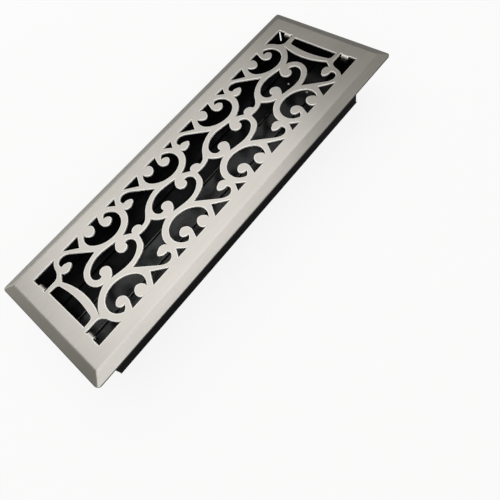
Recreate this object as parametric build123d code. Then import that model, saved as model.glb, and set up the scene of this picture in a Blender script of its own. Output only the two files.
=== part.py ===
# Floor register: a pierced scroll faceplate over a folded damper box with four linked louver blades.
# Millimetres, +Z up, +Y along the length. The origin is under the middle of the box, on its lower edge.
import os
from math import cos, radians, sin

from build123d import *

os.makedirs("parts", exist_ok=True)

# Floor opening that the register covers: four by fourteen inches with a quarter inch to spare
duct_width = 107.95
duct_length = 361.95

# Faceplate: one stamped sheet, bevelled down to the floor on all four sides
face_overhang = 15.875
plate_sheet = 2.0
face_drop = 5.6
lip_height = 1.2
bevel_run = 9.0
lip_corner_radius = 4.0
bend_radius = 3.0

# Pierced field: solid margins around it, and the drawing that is stretched to fill it
side_margin = 22.4
end_margin = 23.6
drawn_width = 96.0
drawn_length = 350.0
drawn_pitch = 77.9
repeats = 4

# Hooks folded out of the corner openings, which hold the box against the plate
hook_width = 7.4
hook_spread = 70.4
hook_sheet = 1.2
hook_bend = 1.8
hook_drop = 4.5
hook_foot = 3.2
hook_clearance = 0.2

# Damper box: one strip of sheet folded to a frame, open above and below. It hangs off the middle:
# its far wall stands in the far hooks and its near wall stands just inside the plate's bend.
box_sheet = 0.8
box_side_clearance = 5.975
box_near_gap = 1.5
box_drop = 50.8
box_corner_radius = 2.4
seam_gap = 1.15
seam_depth = 11.0

# Louver blades, with pivots formed in their end ears
blade_count = 4
blade_sheet = 0.8
blade_gap = 1.8
blade_depth = 22.1
blade_lip = 2.0
blade_bend = 0.8
blade_end_gap = 2.2
ear_root = 15.0
ear_tip = 7.0
pivot_drop = 3.2
pivot_radius = 1.5
pivot_end = 0.6
open_angle = 85.0

# Tie bar and the crank pins that it turns on
crank_radius = 8.0
crank_pin_radius = 1.25
tie_sheet = 1.2
tie_height = 6.0
tie_gap = 0.3
tie_pin_end = 0.3
running_clearance = 0.05

# Sizes that follow from those above
face_width = duct_width + 2 * face_overhang
face_length = duct_length + 2 * face_overhang
face_top = box_drop + face_drop
plate_under = face_top - plate_sheet
field_width = face_width - 2 * side_margin
field_length = face_length - 2 * end_margin
field_end = field_length / 2
bevel_slope = (face_drop - lip_height) / bevel_run
under_rise = face_drop - plate_sheet
rim_width = bevel_run - (face_drop - plate_sheet * (1 + bevel_slope ** 2) ** 0.5) / bevel_slope
under_end = face_length / 2 - rim_width - under_rise / bevel_slope
box_width = duct_width - 2 * box_side_clearance
box_far = field_end + box_sheet
box_near = box_near_gap - under_end
box_length = box_far - box_near
box_middle = (box_far + box_near) / 2
box_inner_width = box_width - 2 * box_sheet
box_inner_end = box_length / 2 - box_sheet
blade_pitch = box_inner_width / blade_count
blade_width = blade_pitch - blade_gap
blade_top = face_top - blade_depth
pivot_height = blade_top - blade_sheet / 2 - pivot_drop
ear_outer = box_inner_end - blade_end_gap
ear_inner = ear_outer - blade_sheet
half_swing = radians(open_angle / 2)
crank_offset = crank_radius * sin(half_swing)
crank_height = pivot_height - crank_radius * cos(half_swing)
blade_places = [(i - (blade_count - 1) / 2) * blade_pitch for i in range(blade_count)]


def save(shape, node):
    export_step(shape, f"parts/{node}.step")


# Scroll drawing
# Points are drawn about the middle of one repeat, with +Y towards the far end. A run of two points
# is a straight cut, three make an arc and more make a smooth curve. Runs share their end points.
kidney_rim = [(-3.2, 17.0), (-3.7, 20.5), (1.8, 24.0), (10.5, 19.3), (15.1, 8.0), (14.4, -2.0),
              (11.8, -13.3)]
kidney_bulb = [(11.8, -13.3), (7.0, -8.4), (1.7, -7.0), (-2.6, -11.5), (-0.4, -16.7), (3.2, -17.0)]

crescent_rim = [(-39.5, 21.8), (-44.1, 26.5), (-33.2, 33.6), (-19.2, 24.9), (-18.1, 10.6), (-29.3, -4.1),
                (-43.2, -0.9)]
crescent_lower_bulb = [(-43.2, -0.9), (-38.2, 0.3), (-35.5, 4.6), (-39.4, 9.6), (-48.0, 6.0)]
crescent_side = [(-48.0, 6.0), (-48.0, 20.1)]
crescent_upper_bulb = [(-48.0, 20.1), (-41.5, 17.3), (-35.0, 16.3), (-30.4, 20.9), (-34.6, 27.3),
                       (-39.5, 21.8)]

wing_edge = [(20.7, 5.1), (39.2, 20.2)]
wing_hook = [(39.2, 20.2), (42.7, 24.3), (43.8, 28.6), (41.3, 33.1), (35.5, 33.4)]
wing_bulb = [(35.5, 33.4), (34.6, 28.4), (31.5, 25.5), (28.0, 29.4), (30.9, 38.0)]
wing_rim = [(30.9, 38.0), (21.6, 40.9), (15.8, 46.4), (11.0, 57.2)]

leaf_tip = [(-11.0, -57.2), (-4.7, -50.4)]
leaf_bulb = [(-4.7, -50.4), (-8.0, -46.8), (-7.7, -43.0), (-2.5, -39.9)]
leaf_rim = [(-2.5, -39.9), (-4.1, -34.3), (-10.7, -28.0), (-18.2, -16.0), (-20.7, -5.1)]

star_tip = [(11.0, 57.2), (5.3, 50.6), (-0.5, 47.4)]
star_neck = [(-0.5, 47.4), (2.1, 38.9), (1.4, 30.1)]
star_rim = [(1.4, 30.1), (6.4, 28.6), (12.4, 25.8), (18.2, 16.0), (20.7, 5.1)]

arch_shoulder = [(30.9, 38.0), (23.8, 42.7)]
arch_under = [(23.8, 42.7), (-1.0, 37.2), (-29.2, 41.8)]
arch_side = [(-29.2, 41.8), (-18.3, 34.2), (-10.3, 19.8)]
arch_rim = [(-10.3, 19.8), (-5.9, 27.1), (0.1, 29.6), (7.8, 28.4), (12.9, 25.3), (18.2, 16.0), (20.7, 5.1)]

large_triangle = [(-48.0, -4.6), (-36.3, -11.7), (-48.0, -24.1)]
small_triangle = [(-48.0, -35.1), (-40.1, -39.9), (-48.0, -46.1)]

# End openings are drawn about the middle of the whole field
corner_curve = [(-29.9, 163.8), (-31.6, 159.5), (-36.8, 156.4), (-48.0, 150.2)]
corner_square = [(-48.0, 150.2), (-48.0, 175.0), (-29.8, 175.0), (-29.9, 163.8)]
slot_edge = [(-25.8, 173.1), (25.8, 173.1)]
slot_end = [(25.8, 173.1), (25.5, 167.8)]
slot_corner = [(25.5, 167.8), (24.3, 164.6), (20.4, 163.2)]
slot_belly = [(20.4, 163.2), (0.0, 161.1), (-20.4, 163.2)]


def turned(run):
    """A run after half a turn about the middle of its repeat."""
    return [(-x, -y) for x, y in run]


def mirrored(run):
    """A run mirrored left to right and read backwards, so that it closes the outline it mirrors."""
    return [(-x, y) for x, y in reversed(run)]


def straight(points):
    """A chain of straight runs through the points."""
    return [[a, b] for a, b in zip(points, points[1:])]


def arcs(points):
    """A smooth curve through the points, drawn as one arc from each point to the next."""
    curve = Spline(*points)
    stops = [curve.param_at_point(point) for point in points]
    middles = [curve.position_at((a + b) / 2) for a, b in zip(stops, stops[1:])]
    return [ThreePointArc(a, middle, b) for a, middle, b in zip(points, middles, points[1:])]


def opening(runs, middle=0.0):
    """The face that the runs enclose, stretched from the drawing to the plate's field."""
    edges = []
    for run in runs:
        points = [(x * field_width / drawn_width, (y + middle) * field_length / drawn_length) for x, y in run]
        if len(points) == 2:
            edges.append(Line(*points))
        elif len(points) == 3:
            edges.append(ThreePointArc(*points))
        else:
            edges.extend(arcs(points))
    return make_face(edges)


def scroll_openings():
    """Every opening of the grille. The drawing maps onto itself in half a turn, apart from the necks."""
    kidney = [kidney_rim, kidney_bulb, turned(kidney_rim), turned(kidney_bulb)]
    crescent = [crescent_rim, crescent_lower_bulb, crescent_side, crescent_upper_bulb]
    wing = [wing_edge, wing_hook, wing_bulb]
    star = [*wing, wing_rim, star_tip, star_neck, star_rim]
    leaf = [turned(run) for run in [*wing, wing_rim]] + [leaf_tip, leaf_bulb, leaf_rim]
    arch = [*wing, arch_shoulder, arch_under, arch_side, arch_rim]
    large = straight([*large_triangle, large_triangle[0]])
    small = straight([*small_triangle, small_triangle[0]])
    corner = [corner_curve, *straight(corner_square)]
    slot = [slot_edge, slot_end, slot_corner, slot_belly, mirrored(slot_corner), mirrored(slot_end)]

    rows = [(i - (repeats - 1) / 2) * drawn_pitch for i in range(repeats)]
    faces = []
    for row in rows:
        faces.append(opening(kidney, row))
        for runs in (crescent, large):
            faces.append(opening(runs, row))
            faces.append(opening([turned(run) for run in runs], row))
    for near, far in zip(rows, rows[1:]):
        faces.append(opening(leaf, far))
        faces.append(opening(star, near))
        faces.append(opening(small, far))
        faces.append(opening([turned(run) for run in small], near))
    faces.append(opening(arch, rows[-1]))
    faces.append(opening([turned(run) for run in arch], rows[0]))
    for runs in (corner, [mirrored(run) for run in reversed(corner)], slot):
        faces.append(opening(runs))
        faces.append(opening([turned(run) for run in runs]))
    return faces


def rounded(width, length, radius, height):
    """A rounded rectangle lying at a height."""
    return Pos(0, 0, height) * RectangleRounded(width, length, radius)


def rim():
    """The bevelled border: the sheet's section from the lip to the flat top, led around the edge with mitres."""
    under_bend = rim_width + under_rise / bevel_slope
    border = 2 * under_bend
    section = Polygon((0, 0), (0, lip_height), (bevel_run, face_drop), (border, face_drop), (border, under_rise),
                      (under_bend, under_rise), (rim_width, 0), align=None)
    section = fillet(section.vertices().sort_by_distance((bevel_run, face_drop))[0], bend_radius)
    section = fillet(section.vertices().sort_by_distance((under_bend, under_rise))[0], bend_radius - plate_sheet)
    edge = Pos(0, 0, box_drop) * Rectangle(face_width, face_length).wire()
    across = Plane((-face_width / 2, 0, box_drop), x_dir=(1, 0, 0), z_dir=(0, -1, 0))
    top = Pos(0, 0, plate_under) * Box(face_width - 2 * border, face_length - 2 * border, plate_sheet,
                                       align=(Align.CENTER, Align.CENTER, Align.MIN))
    return sweep(across * section, path=edge, transition=Transition.RIGHT) + top


def faceplate():
    """The rim and flat top with the lip's corners rounded, then pierced, with the hooks added."""
    pan = rim() & extrude(rounded(face_width, face_length, lip_corner_radius, box_drop), face_drop)
    piercing = [extrude(Pos(0, 0, plate_under - 1) * face, plate_sheet + 2) for face in scroll_openings()]
    pan = pan - piercing
    for x in (-hook_spread / 2, hook_spread / 2):
        for turn in (0, 180):
            pan = pan + Rot(0, 0, turn) * Pos(x, 0, 0) * hook()
    return pan


def hook():
    """A tab bent round from the opening's end edge, with a foot that holds the box's sheet to the plate."""
    inner = -hook_bend
    outer = inner - hook_sheet
    foot = -box_sheet - hook_sheet
    section = Polygon((0, plate_sheet), (outer, plate_sheet), (outer, -hook_drop), (inner, -hook_drop), (inner, foot),
                      (hook_foot, foot), (hook_foot, -box_sheet), (inner, -box_sheet), (inner, 0), (0, 0), align=None)
    section = fillet(section.vertices().sort_by_distance((outer, plate_sheet))[0], -outer)
    side = Plane((-hook_width / 2, field_end, plate_under), x_dir=(0, 1, 0), z_dir=(1, 0, 0))
    return extrude(side * section, hook_width)


def damper_box():
    """Four walls, slots in the far one and a flange on the near one for the hooks, an open seam and pivot holes."""
    height = plate_under
    outside = extrude(rounded(box_width, box_length, box_corner_radius, 0), height)
    inner_radius = box_corner_radius - box_sheet
    inside = extrude(rounded(box_inner_width, 2 * box_inner_end, inner_radius, 0), height)
    box = Pos(0, box_middle, 0) * (outside - inside)

    flange_edge = -field_end - box_sheet / 2
    flange = flange_edge - box_near - box_sheet / 2
    box += Pos(0, flange_edge, height) * Box(box_inner_width - 2 * box_corner_radius, flange, box_sheet,
                                             align=(Align.CENTER, Align.MAX, Align.MAX))
    slot = Box(hook_width + 2 * hook_clearance, 4 * box_sheet, plate_sheet + hook_clearance,
               align=(Align.CENTER, Align.CENTER, Align.MAX))
    box -= [Pos(x, box_far, height - box_sheet) * slot for x in (-hook_spread / 2, hook_spread / 2)]
    seam = Box(seam_gap, 4 * box_corner_radius, seam_depth, align=(Align.CENTER, Align.CENTER, Align.MAX))
    box -= Pos(-box_width / 2, box_far, height) * Rot(0, 0, 45) * seam
    for x in blade_places:
        box -= Pos(x, 0, pivot_height) * Rot(90, 0, 0) * Cylinder(pivot_radius + running_clearance, 2 * face_length)
    return box


def blade(x):
    """A flat louver with both long edges turned down, an ear at each end, its pivots and its crank pin."""
    top = blade_top
    section = Plane.XZ * Pos(0, top) * Rectangle(blade_width, blade_lip, align=(Align.CENTER, Align.MAX))
    solid = extrude(section, ear_outer, both=True)
    upper = solid.edges().filter_by(Axis.Y).group_by(Axis.Z)[-1]
    solid = fillet(upper, blade_bend)
    channel = Plane.XZ * Pos(0, top - blade_sheet) * Rectangle(blade_width - 2 * blade_sheet, blade_lip,
                                                               align=(Align.CENTER, Align.MAX))
    solid -= extrude(channel, ear_inner, both=True)
    pivot = (0, pivot_height)
    crank = (crank_offset, crank_height)
    solid += extrude(Plane.XZ.offset(ear_inner) * ear(pivot, crank), blade_sheet)
    solid += extrude(Plane.XZ.offset(-ear_outer) * ear(pivot), blade_sheet)

    pivot_reach = box_length / 2 + pivot_end - ear_inner
    crank_reach = blade_sheet + tie_gap + tie_sheet + tie_pin_end
    solid += stud(pivot, pivot_radius, pivot_reach, near=True)
    solid += stud(pivot, pivot_radius, pivot_reach, near=False)
    solid += stud(crank, crank_pin_radius, crank_reach, near=True)
    return Pos(x, box_middle, 0) * solid


def ear(*pins):
    """An ear's outline, tapered from the blade's top to a square around each of its pins."""
    edges = Line((-ear_root / 2, blade_top), (ear_root / 2, blade_top)).edges()
    for x, z in pins:
        edges += (Pos(x, z) * Rectangle(ear_tip, ear_tip)).edges()
    return make_hull(edges)


def stud(place, radius, reach, near):
    """A round pin that stands out from the inner face of the near or the far ear."""
    x, z = place
    turn = 90 if near else -90
    start = -ear_inner if near else ear_inner
    return Pos(x, start, z) * Rot(turn, 0, 0) * Cylinder(radius, reach, align=(Align.CENTER, Align.CENTER, Align.MIN))


def tie_bar():
    """A flat strip along the near wall that joins the blades' cranks."""
    length = blade_places[-1] - blade_places[0] + tie_height
    strip = Rectangle(length, tie_height)
    strip -= [Pos(x, 0) * Circle(crank_pin_radius + running_clearance) for x in blade_places]
    plane = Plane.XZ.offset(ear_outer + tie_gap - box_middle) * Pos(crank_offset, crank_height)
    return extrude(plane * strip, tie_sheet)


save(faceplate(), "faceplate")
save(damper_box(), "damper_box")
for number, place in enumerate(blade_places, start=1):
    save(blade(place), f"blade_{number}")
save(tie_bar(), "tie_bar")
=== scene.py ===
from math import cos, pi, radians, sin

import bmesh
import bpy
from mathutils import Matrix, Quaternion, Vector


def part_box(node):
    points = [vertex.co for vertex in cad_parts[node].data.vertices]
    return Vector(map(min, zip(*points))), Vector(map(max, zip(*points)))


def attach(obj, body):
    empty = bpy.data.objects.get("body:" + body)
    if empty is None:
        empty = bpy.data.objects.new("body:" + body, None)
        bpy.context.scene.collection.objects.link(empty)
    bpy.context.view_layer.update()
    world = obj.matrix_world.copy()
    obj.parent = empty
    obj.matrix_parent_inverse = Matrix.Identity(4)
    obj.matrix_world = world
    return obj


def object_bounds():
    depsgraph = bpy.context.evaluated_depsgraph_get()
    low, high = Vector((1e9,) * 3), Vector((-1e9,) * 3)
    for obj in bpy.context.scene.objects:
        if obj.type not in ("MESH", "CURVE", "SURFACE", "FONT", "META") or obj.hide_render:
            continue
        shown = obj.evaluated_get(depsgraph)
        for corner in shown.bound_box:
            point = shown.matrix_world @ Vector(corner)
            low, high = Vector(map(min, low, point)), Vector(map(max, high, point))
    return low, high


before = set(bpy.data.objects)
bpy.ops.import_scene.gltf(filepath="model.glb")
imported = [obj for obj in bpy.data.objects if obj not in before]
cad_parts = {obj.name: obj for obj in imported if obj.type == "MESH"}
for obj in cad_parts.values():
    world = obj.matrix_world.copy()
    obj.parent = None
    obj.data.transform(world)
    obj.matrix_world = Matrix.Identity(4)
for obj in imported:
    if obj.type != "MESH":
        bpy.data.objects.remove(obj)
cad_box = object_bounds()


# Faceplate
# One steel sheet, pressed to a bevelled rim, pierced with the scroll pattern and plated in satin nickel.
# Fine brushing runs along its length. The punched rims and the walls of the piercings are painted bright as
# a highlight, and a low band round the outer edge is painted dark as shade.
class Value:
    """A value that changes over a finish; sums, products and comparisons of values add Math nodes."""

    def __init__(self, finish, socket):
        self.finish = finish
        self.socket = socket

    def math(self, operation, first, second):
        return self.finish.node("ShaderNodeMath", {"operation": operation}, {0: first, 1: second})

    def __add__(self, other):
        return self.math("ADD", self, other)

    __radd__ = __add__

    def __sub__(self, other):
        return self.math("SUBTRACT", self, other)

    def __rsub__(self, other):
        return self.math("SUBTRACT", other, self)

    def __mul__(self, other):
        return self.math("MULTIPLY", self, other)

    __rmul__ = __mul__

    def __abs__(self):
        return self.math("ABSOLUTE", self, 0.0)

    def __lt__(self, other):
        return self.math("LESS_THAN", self, other)

    def __gt__(self, other):
        return self.math("GREATER_THAN", self, other)


class Finish:
    """The nodes of a material, or of the room's light, around the one shader that it starts with."""

    mix_sockets = {"RGBA": (6, 7, 2), "VECTOR": (4, 5, 1)}
    edge_samples = 8

    def __init__(self, owner):
        self.owner = owner
        owner.use_nodes = True
        self.nodes = owner.node_tree.nodes
        self.links = owner.node_tree.links
        self.shader = next(node for node in self.nodes if node.type in ("BSDF_PRINCIPLED", "BACKGROUND"))

    def node(self, kind, settings, sockets, output=0):
        """Adds a node, makes its settings, feeds its sockets and gives back one of its outputs."""
        made = self.nodes.new(kind)
        for setting, choice in settings.items():
            setattr(made, setting, choice)
        for place, value in sockets.items():
            self.feed(made.inputs[place], value)
        return Value(self, made.outputs[output])

    def feed(self, socket, value):
        if isinstance(value, Value):
            self.links.new(value.socket, socket)
        else:
            socket.default_value = value

    def surface(self, **sockets):
        """Feeds the shader's sockets, named with underscores for spaces."""
        for name, value in sockets.items():
            self.feed(self.shader.inputs[name.replace("_", " ").title().replace("Ior", "IOR")], value)

    def place(self):
        """The point on the object, in metres."""
        return self.node("ShaderNodeTexCoord", {}, {}, "Object")

    def along(self, axis, vector):
        """One of the three numbers of a vector."""
        return self.node("ShaderNodeSeparateXYZ", {}, {"Vector": vector}, axis)

    def agreement(self, first, second):
        """How far two directions agree: one where they are the same and zero where they are square."""
        settings = {"operation": "DOT_PRODUCT"}
        return self.node("ShaderNodeVectorMath", settings, {0: first, 1: second}, "Value")

    def facing(self):
        """The direction that the surface faces."""
        return self.node("ShaderNodeNewGeometry", {}, {}, "Normal")

    def rounded(self, radius):
        """The direction that the surface would face with its edges rounded to a radius."""
        return self.node("ShaderNodeBevel", {"samples": self.edge_samples}, {"Radius": radius})

    def bumped(self, height, strength, depth, facing):
        """The direction that the surface faces with a fine relief on it."""
        sockets = {"Strength": strength, "Distance": depth, "Height": height, "Normal": facing}
        return self.node("ShaderNodeBump", {}, sockets)

    def noise(self, grain, detail=2.0, roughness=0.5):
        """A cloudy texture, with so many grains to a metre along each axis of the object."""
        grains = self.node("ShaderNodeVectorMath", {"operation": "MULTIPLY"}, {0: self.place(), 1: grain})
        sockets = {"Vector": grains, "Scale": 1.0, "Detail": detail, "Roughness": roughness}
        return self.node("ShaderNodeTexNoise", {}, sockets)

    def between(self, value, limits):
        """Zero at the first limit, one at the second, and a smooth rise between them."""
        low, high = limits
        return self.node(
            "ShaderNodeMapRange", {"interpolation_type": "SMOOTHSTEP"},
            {"Value": value, "From Min": low, "From Max": high})

    def mixed(self, share, first, second, kind="RGBA"):
        """A blend of two colours, or of two vectors, with a share of the second."""
        start, end, output = self.mix_sockets[kind]
        sockets = {"Factor": share, start: first, end: second}
        return self.node("ShaderNodeMix", {"data_type": kind}, sockets, output)

    def on(self, thing):
        """Puts the finish on a piece in place of what it has."""
        thing.data.materials.clear()
        thing.data.materials.append(self.owner)


nickel_light = (0.66, 0.633, 0.596, 1.0)
nickel_dark = (0.58, 0.556, 0.523, 1.0)
# Near white, painted on the punched rims and cut walls as a highlight
nickel_rim_highlight = (1.0, 0.98, 0.95, 1.0)
# Dark, painted as shade on the low band round the outer edge
nickel_edge_shade = (0.22, 0.21, 0.20, 1.0)
brush_grain = (2400.0, 45.0, 2400.0)
cloud_grain = (28.0, 16.0, 28.0)
tone_limits = (0.32, 0.68)
brush_in_tone = 0.6
cloud_in_tone = 0.4
nickel_roughness = 0.25
brush_roughness = 0.10
cloud_roughness = 0.04
cut_roughness = 0.45
brush_strength = 0.06
brush_depth = 0.0002
cut_wall_tilt = 0.3
punched_land = 0.0013
shade_below = 0.0043
rolled_edge = 0.0007
wide_rounding = 0.0020
rim_highlight_limits = (0.028, 0.075)
fold_zone = 0.01535
face_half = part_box("faceplate")[1]

nickel = Finish(bpy.data.materials.new("satin_nickel"))
brushing = nickel.noise(brush_grain, detail=3.0, roughness=0.6)
cloud = nickel.noise(cloud_grain, detail=3.0)
facing = nickel.facing()
upward = nickel.along("Z", facing)
across = nickel.along("X", nickel.place())
lengthwise = nickel.along("Y", nickel.place())
height = nickel.along("Z", nickel.place())
inside_fold = (abs(across) < face_half.x - fold_zone) * (abs(lengthwise) < face_half.y - fold_zone)
widely_rounded = nickel.rounded(wide_rounding)
rolled = nickel.mixed(1 - inside_fold, nickel.rounded(rolled_edge), widely_rounded, "VECTOR")
pierced = height > face_half.z - punched_land
# Painted highlight: the rims of the piercings and the walls of their cuts get a near-white nickel colour
cut_wall = (upward < cut_wall_tilt) * (upward > -cut_wall_tilt) * pierced
rim = nickel.between(1 - nickel.agreement(widely_rounded, facing), rim_highlight_limits) * pierced
tone = nickel.between(brush_in_tone * brushing + cloud_in_tone * cloud, tone_limits)
sheet = nickel.mixed(tone, nickel_dark, nickel_light)
rim_highlighted_sheet = nickel.mixed(rim + cut_wall, sheet, nickel_rim_highlight)
polish = nickel_roughness + brush_roughness * brushing + cloud_roughness * cloud
nickel.surface(
    # Painted shade: below this height, on the outer lip and the foot of the bevel, the nickel turns dark
    base_color=nickel.mixed(height < face_half.z - shade_below, rim_highlighted_sheet, nickel_edge_shade),
    metallic=1.0,
    roughness=polish + cut_roughness * cut_wall,
    normal=nickel.bumped(brushing, brush_strength, brush_depth, rolled),
)
nickel.on(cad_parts["faceplate"])


# Damper box
# A strip of sheet steel folded to an open frame, spot welded at one corner and hung from the plate's hooks.
# It is sprayed with black enamel, semi-gloss, with a little orange peel, worn through on the sharp edges and
# bends towards the right near corner, where the steel also stands as a painted highlight.
enamel_black = (0.004, 0.004, 0.005, 1.0)
thin_dust = (0.010, 0.010, 0.011, 1.0)
steel_wear_and_highlight = (0.40, 0.39, 0.38, 1.0)
peel_grain = (420.0, 420.0, 420.0)
peel_roughness = 0.05
peel_strength = 0.10
peel_depth = 0.0003
dust_and_sheen_grain = (45.0, 30.0, 45.0)
dust_and_sheen_patches = (0.34, 0.72)
dust_and_sheen_length = (0.10, -0.03)
dust_and_sheen_roughness = 0.10
wear_grain = (260.0, 90.0, 260.0)
wear_patches = (0.36, 0.56)
lit_side_across = (-0.02, -0.005)
lit_side_along = (0.11, 0.07)
sprayed_edge = 0.0006
sharp_edge = (0.03, 0.16)
bend_top = (0.98, 0.85)
bend_foot = (0.15, 0.45)
wear_and_highlight_share = 0.6


def black_enamel(name, roughness, shine, film):
    """Black enamel with orange peel and a patchy film on the near half, which with a light film is a painted
    sheen; steel shows through on edges towards the right near corner, as wear and painted highlight.
    """
    enamel = Finish(bpy.data.materials.new(name))
    across = enamel.along("X", enamel.place())
    lengthwise = enamel.along("Y", enamel.place())
    peel = enamel.noise(peel_grain)
    patches = enamel.noise(dust_and_sheen_grain, detail=5.0, roughness=0.65)
    # Patchy film on the near half: a thin dust on the box, tie bar and left blades, painted sheen on the
    # right blades
    dust_and_sheen = enamel.between(patches, dust_and_sheen_patches) * enamel.between(lengthwise, dust_and_sheen_length)
    soft = enamel.rounded(sprayed_edge)
    edge = enamel.between(1 - enamel.agreement(soft, enamel.facing()), sharp_edge)
    tilt = enamel.along("Z", enamel.node("ShaderNodeTexCoord", {}, {}, "Normal"))
    bend = enamel.between(tilt, bend_top) * enamel.between(tilt, bend_foot)
    rubbing = enamel.noise(wear_grain, detail=4.0, roughness=0.7)
    # Painted highlight as well as wear: steel shows on edges only towards the right near corner, where light
    # falls
    lit_side = enamel.between(across, lit_side_across) * enamel.between(lengthwise, lit_side_along)
    wear_and_highlight = wear_and_highlight_share * (edge + bend) * lit_side * enamel.between(rubbing, wear_patches)
    enamel.surface(
        base_color=enamel.mixed(wear_and_highlight, enamel.mixed(dust_and_sheen, enamel_black, film), steel_wear_and_highlight),
        metallic=wear_and_highlight,
        roughness=roughness + dust_and_sheen_roughness * dust_and_sheen + peel_roughness * peel,
        specular_ior_level=shine,
        normal=enamel.bumped(peel, peel_strength, peel_depth, soft),
    )
    return enamel


black_enamel("box_enamel", roughness=0.30, shine=0.12, film=thin_dust).on(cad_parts["damper_box"])


# Louver blades
# Four strips of sheet steel with both long edges turned down, sprayed black, that turn on their end pivots.
# The left pair gets a darker, duller copy of the spray as painted shade, and the right pair a glossier one
# with a lighter film as painted sheen. A bright rivet head stands near the far end of each middle blade.
# The light film of the right blades, a painted sheen over their near half
painted_sheen_film = (0.066, 0.069, 0.075, 1.0)
# Painted shade on the left pair and painted sheen on the right pair: two copies of one enamel
shaded_blade = black_enamel("shaded_blade_enamel", roughness=0.22, shine=0.05, film=thin_dust)
lit_blade = black_enamel("lit_blade_enamel", roughness=0.20, shine=0.28, film=painted_sheen_film)
blade_enamels = {1: shaded_blade, 2: shaded_blade, 3: lit_blade, 4: lit_blade}
riveted_blades = (2, 3)
rivet_dark = (0.50, 0.49, 0.47, 1.0)
rivet_light = (0.72, 0.70, 0.67, 1.0)
scratch_grain = (3000.0, 3000.0, 3000.0)
rivet_roughness = 0.22
scratch_roughness = 0.12
rivet_radius = 0.0012
rivet_dome = 0.0005
rivet_rim = 0.000175
rivet_seat = 0.0001
rivet_offset = 0.0040
rivet_from_end = 0.0408
dome_steps = 6
rivet_sides = 24
weld_distance = 1e-6

rivet_steel = Finish(bpy.data.materials.new("rivet_steel"))
scratch = rivet_steel.noise(scratch_grain, detail=3.0)
rivet_steel.surface(
    base_color=rivet_steel.mixed(scratch, rivet_dark, rivet_light),
    metallic=1.0,
    roughness=rivet_roughness + scratch_roughness * scratch,
)


def set_up(name, data):
    """A new object that stands in the scene."""
    thing = bpy.data.objects.new(name, data)
    bpy.context.scene.collection.objects.link(thing)
    return thing


def rivet_head(name, center):
    """A low domed head with a short straight rim, standing on the blade."""
    profile = [(rivet_radius, 0.0, -rivet_seat), (rivet_radius, 0.0, rivet_rim)]
    for step in range(1, dome_steps + 1):
        angle = pi / 2 * step / dome_steps
        profile.append((rivet_radius * cos(angle), 0.0, rivet_rim + (rivet_dome - rivet_rim) * sin(angle)))
    shape = bmesh.new()
    corners = [shape.verts.new(point) for point in profile]
    edges = [shape.edges.new(pair) for pair in zip(corners, corners[1:])]
    bmesh.ops.spin(
        shape, geom=corners + edges, cent=(0, 0, 0), axis=(0, 0, 1), angle=2 * pi, steps=rivet_sides,
        use_duplicate=False)
    bmesh.ops.remove_doubles(shape, verts=shape.verts, dist=weld_distance)
    bmesh.ops.recalc_face_normals(shape, faces=shape.faces)
    bmesh.ops.translate(shape, verts=shape.verts, vec=center)
    mesh = bpy.data.meshes.new(name)
    shape.to_mesh(mesh)
    shape.free()
    mesh.shade_smooth()
    return set_up(name, mesh)


for number, enamel in blade_enamels.items():
    enamel.on(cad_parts[f"blade_{number}"])
for number in riveted_blades:
    low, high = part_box(f"blade_{number}")
    middle = (low.x + high.x) / 2
    center = Vector((middle + rivet_offset, high.y - rivet_from_end, high.z))
    head = rivet_head(f"blade_rivet_{number}", center)
    rivet_steel.on(head)
    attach(head, f"blade_{number}")


# Tie bar
# A flat strip of sheet steel across the near ends of the blades, which makes all four turn together.
# It is punched for the pins of their crank lugs and sprayed with the same black enamel as the box.
black_enamel("tie_bar_enamel", roughness=0.34, shine=0.20, film=thin_dust).on(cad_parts["tie_bar"])


# Floor and room
# A plain white floor in a dim room, with a pale wall on the camera's side and a greyer one on the left.
# Both look white to the camera, with a faint shadow, and show only weakly in the metal and the enamel. Under
# the box the floor is painted dark grey as shade and does not glow.
plain_white = (1.0, 1.0, 1.0, 1.0)
floor_size = 6.0
floor_gap = 0.0002
floor_pale = (0.92, 0.92, 0.92, 1.0)
# Grey that the metal sees in the floor, and painted shade under the box
floor_dim_and_shade = (0.25, 0.25, 0.25, 1.0)
floor_roughness = 0.9
floor_glow = 0.86
far_glow = 0.96
reflected_glow = 0.06
shadow_reach = (0.25, 1.00)
pale_wall = (0.86, -0.50, 0.0)
pale_wall_spread = (0.24, 0.66)
left_wall = (-0.98, -0.18, 0.0)
left_wall_spread = (0.73, 0.98)
room_rise = (0.0, 0.5)
room_pale = (1.2, 1.2, 1.2, 1.0)
room_left = (0.84, 0.84, 0.79, 1.0)
room_dim = (0.23, 0.226, 0.203, 1.0)
room_low = (0.05, 0.05, 0.045, 1.0)
room_glow = 0.96
reflected_room = 0.04


def ray(finish, kind):
    """One for the light rays of a kind, and zero for others."""
    return finish.node("ShaderNodeLightPath", {}, {}, f"Is {kind} Ray")


def white_share(finish, seen, reflected):
    """The share of plain white that the camera sees, and the share that metal and glass show."""
    return seen * ray(finish, "Camera") + reflected * (ray(finish, "Glossy") + ray(finish, "Transmission"))


half = floor_size / 2
corners = [(-half, -half, 0), (half, -half, 0), (half, half, 0), (-half, half, 0)]
floor_mesh = bpy.data.meshes.new("floor")
floor_mesh.from_pydata(corners, [], [(0, 1, 2, 3)])
floor = set_up("floor", floor_mesh)
floor.location.z = cad_box[0][2] - floor_gap

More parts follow.
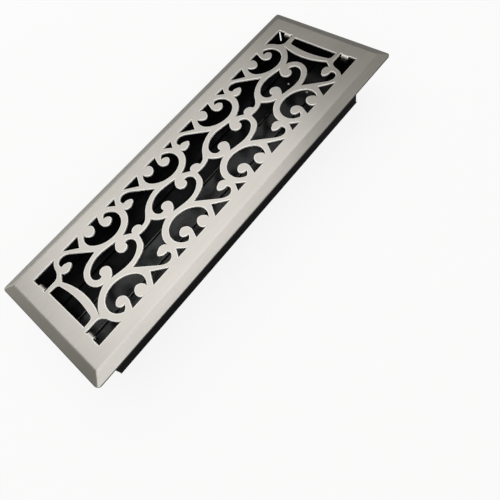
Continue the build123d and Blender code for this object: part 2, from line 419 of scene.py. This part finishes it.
white = Finish(bpy.data.materials.new("white_floor"))
across = white.along("X", white.place())
lengthwise = white.along("Y", white.place())
box_low, box_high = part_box("damper_box")
under_width = (across > box_low.x) * (across < box_high.x)
under_length = (lengthwise > box_low.y) * (lengthwise < box_high.y)
beside_box = 1 - under_width * under_length
distance = white.node("ShaderNodeVectorMath", {"operation": "LENGTH"}, {0: white.place()}, "Value")
seen_glow = floor_glow + (far_glow - floor_glow) * white.between(distance, shadow_reach)
white.surface(
    # Painted shade: under the damper box the camera sees the floor dark grey
    base_color=white.mixed(beside_box * ray(white, "Camera"), floor_dim_and_shade, floor_pale),
    roughness=floor_roughness,
)
paper = Value(white, white.shader.outputs[0])
glow = white.node("ShaderNodeEmission", {}, {"Color": plain_white, "Strength": 1.0})
open_floor = beside_box * white_share(white, seen_glow, reflected_glow)
glowing_paper = white.node("ShaderNodeMixShader", {}, {0: open_floor, 1: paper, 2: glow})
white.feed(white.nodes["Material Output"].inputs["Surface"], glowing_paper)
white.on(floor)

room = Finish(bpy.data.worlds.new("room"))
bpy.context.scene.world = room.owner
outward = room.node("ShaderNodeTexCoord", {}, {}, "Generated")
dim = room.mixed(room.between(room.along("Z", outward), room_rise), room_low, room_dim)
left = room.between(room.agreement(outward, left_wall), left_wall_spread)
pale = room.between(room.agreement(outward, pale_wall), pale_wall_spread)
lit = room.mixed(pale, room.mixed(left, dim, room_left), room_pale)
room.surface(color=room.mixed(white_share(room, room_glow, reflected_room), lit, plain_white))


# Softbox and camera
# One large softbox hangs level over the part, turned a little about the upright axis.
# The camera stands off the right edge, towards the near end, looks steeply down and is rolled clockwise.
overhead_center = Vector((-0.30, 0.105, 1.06))
overhead_size = (1.70, 1.23)
overhead_turn = radians(-11.0)
overhead_watts = 6.5
camera_place = Vector((0.24647, -0.12285, 0.36597))
camera_aim = Vector((0.09319, -0.04177, 0.05640))
camera_roll = radians(-24.8)
camera_lens = 31.96
camera_sensor = 36.0
camera_near = 0.01

softbox_light = bpy.data.lights.new("overhead_softbox", "AREA")
softbox_light.shape = "RECTANGLE"
softbox_light.size, softbox_light.size_y = overhead_size
softbox_light.energy = overhead_watts
softbox = set_up("overhead_softbox", softbox_light)
softbox.location = overhead_center
softbox.rotation_euler.z = overhead_turn

camera = set_up("camera", bpy.data.cameras.new("camera"))
camera.data.sensor_width = camera_sensor
camera.data.lens = camera_lens
camera.data.clip_start = camera_near
camera.location = camera_place
camera.rotation_mode = "QUATERNION"
level = (camera_aim - camera_place).to_track_quat("-Z", "Y")
camera.rotation_quaternion = level @ Quaternion((0, 0, 1), camera_roll)
bpy.context.scene.camera = camera
bpy.context.scene.view_settings.view_transform = "Standard"
